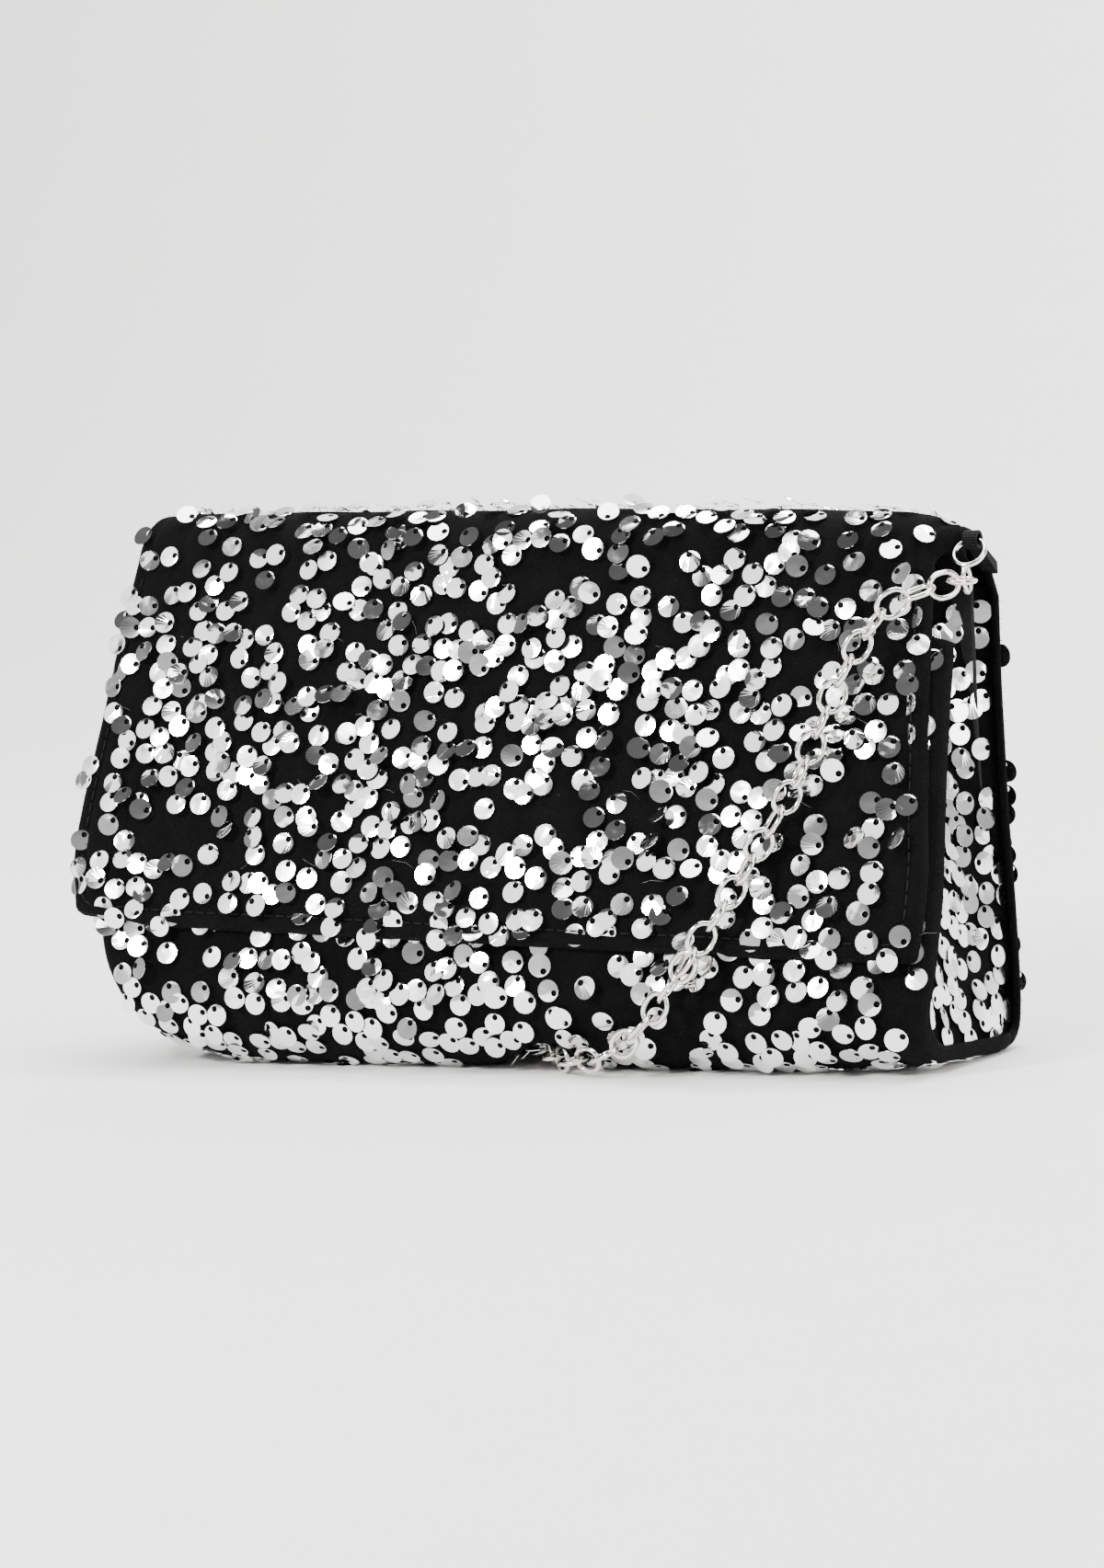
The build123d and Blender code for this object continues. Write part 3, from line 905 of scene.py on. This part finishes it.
def sewn_tree():
    """Scatters shapes along wandering lines of a surface, each turned and tipped its own way."""
    tree, given = new_tree(
        "sewn_along_lines",
        ("Spacing", "NodeSocketFloat", 0.0043),
        ("Lines", "NodeSocketFloat", 8.0),
        ("Wander", "NodeSocketFloat", 46.0),
        ("Share", "NodeSocketFloat", 0.36),
        ("Tip", "NodeSocketFloat", 0.32),
        ("Lift", "NodeSocketFloat", 0.0018),
        ("Spin", "NodeSocketFloat", 1.0),
        ("Seed", "NodeSocketInt", 3),
    )
    for label in ("Shape A", "Shape B", "Shape C", "Shape D"):
        tree.interface.new_socket(label, in_out="INPUT", socket_type="NodeSocketObject")
    tree.interface.new_socket("Material", in_out="INPUT", socket_type="NodeSocketMaterial")
    start = [n for n in tree.nodes if n.bl_idname == "NodeGroupInput"][0]
    given = {s.name: Wire(tree, s) for s in start.outputs if s.name}
    surface = given["Geometry"]
    spot = surface.node("GeometryNodeInputPosition")
    field = surface.node(
        "ShaderNodeTexNoise",
        inputs={"Vector": spot, "Scale": given["Wander"], "Detail": 1.5, "Distortion": 0.5},
    )
    wave = field.maths("FRACT", field * given["Lines"])
    near = wave.maths("ABSOLUTE", wave - 0.5) < given["Share"]
    room = surface.node(
        "GeometryNodeInputNamedAttribute", {"data_type": "FLOAT"}, {"Name": "room"}
    )
    scatter = tree.nodes.new("GeometryNodeDistributePointsOnFaces")
    scatter.distribute_method = "POISSON"
    tree.links.new(surface.socket, scatter.inputs["Mesh"])
    tree.links.new(given["Spacing"].socket, scatter.inputs["Distance Min"])
    tree.links.new(given["Seed"].socket, scatter.inputs["Seed"])
    tree.links.new(near.socket, scatter.inputs["Density Factor"])
    scatter.inputs["Density Max"].default_value = 260000.0
    points = Wire(tree, scatter.outputs["Points"])
    normal = Wire(tree, scatter.outputs["Normal"])
    facing = surface.node(
        "FunctionNodeAxesToRotation",
        {"primary_axis": "Z", "secondary_axis": "X"},
        {"Primary Axis": normal, "Secondary Axis": (-0.6, 0.25, -0.76)},
    )

    def chance(low, high, seed):
        return surface.node(
            "FunctionNodeRandomValue",
            {"data_type": "FLOAT"},
            {2: low, 3: high, "Seed": seed},
            1,
        )

    steep = chance(0.0, 1.0, 11)
    steep = steep.maths("POWER", steep, 3.2) * 1.7 + 0.3
    tip = given["Tip"] * steep * room
    euler = surface.node(
        "ShaderNodeCombineXYZ",
        inputs={
            "X": tip * chance(-0.7, 0.7, 12),
            "Y": tip * chance(-1.1, 0.08, 13) - 0.04 * room,
            "Z": (chance(-1.0, 1.0, 14) + chance(-1.0, 1.0, 19)) * given["Spin"],
        },
    )
    turn = surface.node("FunctionNodeEulerToRotation", inputs={"Euler": euler})
    facing = surface.node(
        "FunctionNodeRotateRotation",
        {"rotation_space": "LOCAL"},
        {"Rotation": facing, "Rotate By": turn},
    )
    height = given["Lift"] * (chance(0.1, 1.0, 15) * room + 0.12)
    lift = surface.node(
        "ShaderNodeVectorMath", {"operation": "SCALE"}, {0: normal, "Scale": height}
    )
    points = surface.node("GeometryNodeSetPosition", inputs={"Geometry": points, "Offset": lift})
    kinds = tree.nodes.new("GeometryNodeGeometryToInstance")
    for label in ("Shape D", "Shape C", "Shape B", "Shape A"):
        info = surface.node("GeometryNodeObjectInfo", inputs={"Object": given[label]}, output="Geometry")
        tree.links.new(info.socket, kinds.inputs[0])
    pick = chance(0.0, 1.0, 16)
    pick = surface.maths("FLOOR", pick.maths("POWER", pick, 3.0) * 3.99)
    placed = surface.node(
        "GeometryNodeInstanceOnPoints",
        inputs={
            "Points": points,
            "Instance": Wire(tree, kinds.outputs[0]),
            "Pick Instance": True,
            "Instance Index": pick,
            "Rotation": facing,
            "Scale": chance(0.95, 1.03, 17),
        },
    )
    marked = surface.node(
        "GeometryNodeStoreNamedAttribute",
        {"data_type": "FLOAT", "domain": "INSTANCE"},
        {"Geometry": placed, "Name": "own_share", "Value": chance(0.0, 1.0, 18)},
    )
    close_tree(tree, marked, given["Material"])
    return tree


sewn = sewn_tree()


def sew_on(name, rows, room, seed, **values):
    """Sequins and their stitches over a grid of points. room is 0 where they lie pressed flat."""
    made = []
    spots, faces = sheet_of(name, rows, 1.0, None, outer_only=True)
    wide = len(rows[0])
    for kind, shapes, material in (
        ("sequins", (flat_disc, dished_disc, bent_disc, twisted_disc), film),
        ("stitches", (one_stitch,) * 4, thread),
    ):
        ground = bpy.data.meshes.new("ground")
        ground.from_pydata([tuple(s) for s in spots], [], faces)
        held = ground.attributes.new("room", "FLOAT", "POINT")
        held.data.foreach_set("value", [room(*divmod(i, wide)) for i in range(len(spots))])
        thing = grow(
            f"{kind}_{name}",
            ground,
            sewn,
            Seed=seed,
            Material=material,
            **dict(zip(("Shape A", "Shape B", "Shape C", "Shape D"), shapes)),
            **values,
        )
        thing.data.polygons.foreach_set("use_smooth", [False] * len(thing.data.polygons))
        made.append(thing)
    return made


def flap_room(i, j):
    row = back_rows[i]
    inside = min(row[j].x - row[0].x, row[-1].x - row[j].x) / mm
    low = (len(back_rows) - 1 - i) * 1.0 if i > len(back_rows) - 8 else 99
    if i < 7:
        return 0.12
    return 1.0 if min(inside, low) > 6 else 0.35


def front_room(i):
    if i < under_count - 13:
        return 0.05
    return min(1.0, 0.1 + 0.15 * (i - under_count + 13)) if i < under_count + 3 else 0.16


sequins_back = sew_on(
    "back_and_flap",
    [row[2:-2] for row in back_rows[4:-1]],
    lambda i, j: flap_room(i + 4, j + 2),
    5,
)
sequins_front = sew_on(
    "base_and_front",
    [row[3:-3] for row in front_rows[1:-2]],
    lambda i, j: front_room(i + 1),
    8,
)
sequins_side = {
    word: sew_on(
        f"{word}_gusset",
        [row[1:-1] for row in rows[1:-1]],
        lambda i, j: 0.4,
        12 + n,
        Share=0.46,
    )
    for n, (word, (cloth, rows)) in enumerate(gussets.items())
}

# --- Pile and loose thread ends -----------------------------------------------------------
# The velvet's pile stands up about a millimetre, which shows along the edges. A few clear nylon
# ends of the sewing thread stick out of it.
def hair_shape(name, long, thick, bow):
    spots, faces = [], []
    for share in (0.0, 0.5, 0.95):
        for corner in range(3):
            turn = math.tau * corner / 3
            wide = thick * (1 - share * 0.7) / 2
            spots.append(
                Vector(
                    (
                        wide * math.cos(turn) + bow * share**2,
                        wide * math.sin(turn),
                        long * share,
                    )
                )
                * mm
            )
    for ring in (0, 3):
        for corner in range(3):
            other = (corner + 1) % 3
            faces.append((ring + corner, ring + other, ring + 3 + other, ring + 3 + corner))
    faces += [(2, 1, 0), (6, 7, 8)]
    shape_mesh = bpy.data.meshes.new(name)
    shape_mesh.from_pydata([tuple(s) for s in spots], [], faces)
    return bpy.data.objects.new(name, shape_mesh)


def nylon_end():
    made, tree, shader = finish_of("clear_nylon", Specular_IOR_Level=0.6)
    place = tree.node("ShaderNodeTexCoord", output=3)
    twist = tree.node("ShaderNodeTexNoise", inputs={"Vector": place, "Scale": 900.0})
    feed(
        shader,
        Base_Color=colour_mix(twist, (0.10, 0.10, 0.11), (0.42, 0.42, 0.44)),
        Roughness=twist * 0.2 + 0.2,
    )
    return made


piles = [hair_shape(f"pile_{n}", 0.7 + 0.22 * n, 0.16, 0.25 * n) for n in range(4)]
ends = [hair_shape(f"thread_end_{n}", 4.0 + 1.6 * n, 0.11, 1.2 + 0.9 * n) for n in range(4)]
nylon = nylon_end()


def hairs(name, rows, shapes, spacing, material, tip):
    spots, faces = sheet_of(name, rows, 1.0, None, outer_only=True)
    ground = bpy.data.meshes.new("ground")
    ground.from_pydata([tuple(s) for s in spots], [], faces)
    held = ground.attributes.new("room", "FLOAT", "POINT")
    held.data.foreach_set("value", [1.0] * len(spots))
    labels = ("Shape A", "Shape B", "Shape C", "Shape D")
    return grow(
        name,
        ground,
        sewn,
        Spacing=spacing,
        Lines=0.0,
        Share=0.7,
        Tip=tip,
        Lift=0.0,
        Spin=3.0,
        Seed=21,
        Material=material,
        **dict(zip(labels, shapes)),
    )


pile_back = hairs("pile_back_and_flap", back_rows[5:], piles, 0.0017, velvet, 0.9)
pile_front = hairs("pile_front", front_rows[under_count - 12 :], piles, 0.0017, velvet, 0.9)
flap_only = back_rows[flap_first + 6 : -2]
whiskers = hairs("thread_ends_flap", flap_only, ends, 0.021, nylon, 1.1)

# --- Topstitching ------------------------------------------------------------------------
# Black thread: one row 4 mm inside the flap's side and lower edges, and one up the front's side.
def stitch_tree():
    """Short stitches end to end along a line, each pressed a little into the cloth."""
    tree, given = new_tree(
        "topstitching",
        ("Pitch", "NodeSocketFloat", 0.0034),
        ("Long", "NodeSocketFloat", 0.0026),
        ("Thick", "NodeSocketFloat", 0.0005),
    )
    line = given["Geometry"].node("GeometryNodeMeshToCurve", inputs={"Mesh": given["Geometry"]})
    line = line.node(
        "GeometryNodeResampleCurve", {"mode": "LENGTH"}, {"Curve": line, "Length": given["Pitch"]}
    )
    along = line.node("GeometryNodeInputTangent")
    facing = line.node(
        "FunctionNodeAxesToRotation",
        inputs={"Primary Axis": along, "Secondary Axis": (0, 0, 1)},
    )
    body = line.node(
        "GeometryNodeMeshCylinder",
        inputs={"Vertices": 6, "Side Segments": 1, "Radius": given["Thick"] * 0.5, "Depth": given["Long"]},
    )
    placed = line.node(
        "GeometryNodeInstanceOnPoints", inputs={"Points": line, "Instance": body, "Rotation": facing}
    )
    close_tree(tree, placed, thread)
    return tree


topstitch = stitch_tree()


def stitched(name, spots):
    line = bpy.data.meshes.new("seam_line")
    line.from_pydata([tuple(s) for s in spots], [(k, k + 1) for k in range(len(spots) - 1)], [])
    return grow(name, line, topstitch)


def inside_edge(row, inside, right):
    """The point of a row that lies a distance inside its left or right end."""
    order = row if row[0].x > row[-1].x else row[::-1]
    order = order if right else order[::-1]
    gone = 0.0
    for here, there in zip(order, order[1:]):
        gone += (there - here).length
        if gone >= inside * mm:
            return there.copy()


flap_part = back_rows[flap_first + 2 :]
seam = [inside_edge(row, 5.0, False) for row in flap_part[:-5]]
corner_row = flap_part[-5]
lower = sorted((spot.copy() for spot in corner_row), key=lambda spot: spot.x)
seam += [s for s in lower if seam[-1].x < s.x < inside_edge(corner_row, 5.0, True).x]
seam += [inside_edge(row, 5.0, True) for row in reversed(flap_part[:-5])]
flap_stitches = stitched("topstitch_flap", [s + Vector((0, -0.25, 0.1)) * mm for s in seam])
front_part = front_rows[under_count + 1 : -3]
front_seams = [
    stitched(
        f"topstitch_front_{word}",
        [inside_edge(row, 7.0, word == "right") + Vector((0, -0.2, 0.1)) * mm for row in front_part],
    )
    for word in ("left", "right")
]

# --- Where the cloth bends ----------------------------------------------------------------
# The sequins and their stitches on the back and flap are cut into strips across the top fold: the strips
# behind it go with the bag, those on the flap go with the flap, and the strips on the fold and the rest of
# the cloth stay put.
fold_start, fold_end = (0, 0.027, 0.124), (0, 0.006, 0.12715)


def part_of(thing, name, kept, size):
    """The shapes of a piece whose number is in kept, each made of size vertices in a row."""
    mesh = thing.data.copy()
    cut = bmesh.new()
    cut.from_mesh(mesh)
    gone = [v for v in cut.verts if v.index // size not in kept]
    bmesh.ops.delete(cut, geom=gone, context="VERTS")
    cut.to_mesh(mesh)
    cut.free()
    made = bpy.data.objects.new(name, mesh)
    bpy.context.scene.collection.objects.link(made)
    return made


def stiff_on_fold(thing, size):
    """Cuts the shapes into strips across the fold, row by row: those before it go with the bag, those
    after it with the flap, and those on it stay where they lie.
    """
    start, along = Vector(fold_start), Vector(fold_end) - Vector(fold_start)
    strips = {}
    for number in range(len(thing.data.vertices) // size):
        middle = thing.data.vertices[number * size].co
        share = (middle - start).dot(along) / along.length_squared
        strip = max(-1, min(10, math.floor(share * 10)))
        if middle.z < 0.118:
            strip = -1 if middle.y > 0.02 else 10
        strips.setdefault(strip, set()).add(number)
    made = []
    for strip, kept in sorted(strips.items()):
        row = part_of(thing, f"{thing.name}_{strip + 2}", kept, size)
        share = max(0.0, min(1.0, (strip + 0.5) / 10))
        turned = share * share * (3 - 2 * share)
        if strip in (-1, 10):
            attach(row, "root" if strip < 0 else "flap")
        else:
            low, high = 0.0, 1.0
            while high - low > 1e-6:
                middle = (low + high) / 2
                less = middle * middle * (3 - 2 * middle) < turned
                low, high = (middle, high) if less else (low, middle)
            spot = start + along * share
            reach = along.normalized() * 1.2
            spot - reach * low
            spot + reach * (1 - low)
            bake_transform(row)
        made.append(row)
    bpy.data.objects.remove(thing)
    return made


# What lies under the bag is pressed level by the table.
for thing in (back_velvet, front_velvet, *sequins_back, *sequins_front):
    for corner in thing.data.vertices:
        corner.co.z = max(0.0, corner.co.z)
side_start = (0, *(c * mm for c in off_front(50, 24)[:2]))
side_end = (0, *(c * mm for c in off_front(50, 3)[:2]))
for piece in (back_velvet, back_lining, pile_back):
    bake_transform(piece)
for row in stiff_on_fold(sequins_back[0], 64):
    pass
stiff_on_fold(sequins_back[1], 16)
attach(flap_stitches, "flap")
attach(whiskers, "flap")
for piece in front_seams:
    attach(piece, "front")
for piece in (front_velvet, front_lining, pile_front, *sequins_front):
    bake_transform(piece)
for word in ("right", "left"):
    for piece in (gussets[word][0], gusset_linings[word], *sequins_side[word]):
        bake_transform(piece)
    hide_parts(f"{word}_gusset")
    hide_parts(f"{word}_gusset_lining")
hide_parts("back_cover", "top_fold", "flap_cover")
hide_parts("base_cover", "lower_fold", "front_cover")
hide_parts("back_lining", "top_fold_lining", "flap_lining")
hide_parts("base_lining", "front_lining")
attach(slip_pocket, "root")
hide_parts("slip_pocket")
for name, piece in layers.items():
    kind, place = name.split("_")
    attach(piece, place if place in ("flap", "front") else "root")
    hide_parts(f"{place}_{kind}")

# --- Snap, rings and their tabs, and the band round the hank ------------------------------
# A nickel-plated magnetic snap, two wire rings in ribbon tabs, and a black elastic band.
def turned_steel():
    made, tree, shader = finish_of("snap_plate", Metallic=1.0)
    place = tree.node("ShaderNodeTexCoord", output=3)
    rub = tree.node("ShaderNodeTexNoise", inputs={"Vector": place, "Scale": 700.0, "Detail": 6.0})
    feed(
        shader,
        Base_Color=colour_mix(rub, (0.50, 0.50, 0.50), (0.74, 0.74, 0.73)),
        Roughness=rub * 0.3 + 0.15,
    )
    return made


def ribbed_ribbon(name, dark, light):
    made, tree, shader = finish_of(name, Specular_IOR_Level=0.1)
    place = tree.node("ShaderNodeTexCoord", output=3)
    ribs = tree.node("ShaderNodeTexWave", {"bands_direction": "Z"}, {"Vector": place, "Scale": 500.0})
    bump = tree.node("ShaderNodeBump", inputs={"Height": ribs, "Strength": 0.6, "Distance": 0.0003})
    feed(
        shader,
        Base_Color=colour_mix(ribs, dark, light),
        Roughness=ribs * 0.2 + 0.6,
        Normal=bump,
    )
    return made


plate = turned_steel()
ribbon = ribbed_ribbon("ribbon", (0.001, 0.001, 0.001), (0.006, 0.006, 0.007))
elastic = ribbed_ribbon("elastic", (0.012, 0.012, 0.012), (0.05, 0.05, 0.05))
for thing in bpy.data.objects:
    if thing.type != "MESH":
        continue
    for word, material in (
        ("snap_", plate),
        ("_ring_tab", ribbon),
        ("hank_tie", elastic),
    ):
        if word in thing.name:
            thing.data.materials.clear()
            thing.data.materials.append(material)
    if thing.name.endswith("_ring"):
        thing.data.materials.clear()
        thing.data.materials.append(chain_metal)

# --- Studio -------------------------------------------------------------------------------
# A pale sweep, one broad soft light on the left and above, and a paler room round about.
sweep_line = [(-2.4, 0.0), (-1.0, 0.0), (0.0, 0.0), (1.0, 0.0)]
sweep_line += [(1.0 + 1.0 * math.sin(a), 1.0 - math.cos(a)) for a in steps(0.15, math.pi / 2, 0.15)]
sweep_line += [(2.0, 3.2)]
spots = [Vector((x, y, z - 0.0)) for y, z in sweep_line for x in (-3.0, 3.0)]
faces = [(2 * i, 2 * i + 1, 2 * i + 3, 2 * i + 2) for i in range(len(sweep_line) - 1)]
paper, tree, shader = finish_of("pale_paper", Roughness=0.9)
place = tree.node("ShaderNodeTexCoord", output=3)
grain = tree.node("ShaderNodeTexNoise", inputs={"Vector": place, "Scale": 40.0})
feed(shader, Base_Color=colour_mix(grain, (0.89, 0.88, 0.86), (0.91, 0.90, 0.88)))
floor = add_mesh("floor", spots, faces, paper)


def soft_light(name, place, target, size, power, shade=(1, 1, 1)):
    made = bpy.data.lights.new(name, "AREA")
    made.shape = "RECTANGLE"
    made.size, made.size_y = size
    made.energy, made.color = power, shade
    lamp = bpy.data.objects.new(name, made)
    bpy.context.scene.collection.objects.link(lamp)
    lamp.location = place
    lamp.rotation_euler = (Vector(target) - Vector(place)).to_track_quat("-Z", "Y").to_euler()


soft_light("key", (-0.60, -1.25, 0.90), (0, 0, 0.07), (0.24, 0.24), 30)
soft_light("broad", (-0.95, -1.45, 1.05), (0, 0, 0.07), (1.5, 1.2), 12)
soft_light("over", (0.3, -0.3, 2.1), (0, 0, 0.05), (2.0, 1.2), 60)
soft_light("wash", (0.0, 0.7, 2.3), (0, 1.6, 0.9), (2.6, 0.8), 110)
soft_light("right", (1.6, -0.6, 0.8), (0, 0, 0.07), (0.8, 1.4), 26)
world = bpy.data.worlds.new("room")
bpy.context.scene.world = world
world.use_nodes = True
sky = Wire(world.node_tree)
ground = world.node_tree.nodes["Background"]
facing = sky.node("ShaderNodeTexCoord", output=0)
parts = sky.node("ShaderNodeSeparateXYZ", inputs={"Vector": facing}, output="Z")
level = sky.node(
    "ShaderNodeValToRGB",
    {"stops": ((0.0, 1.0), (0.5, 1.0), (0.6, 0.6), (0.8, 0.2), (1.0, 0.06))},
    {"Fac": parts * 0.5 + 0.5},
)
world.node_tree.links.new(level.socket, ground.inputs["Color"])
ground.inputs["Strength"].default_value = 1.0
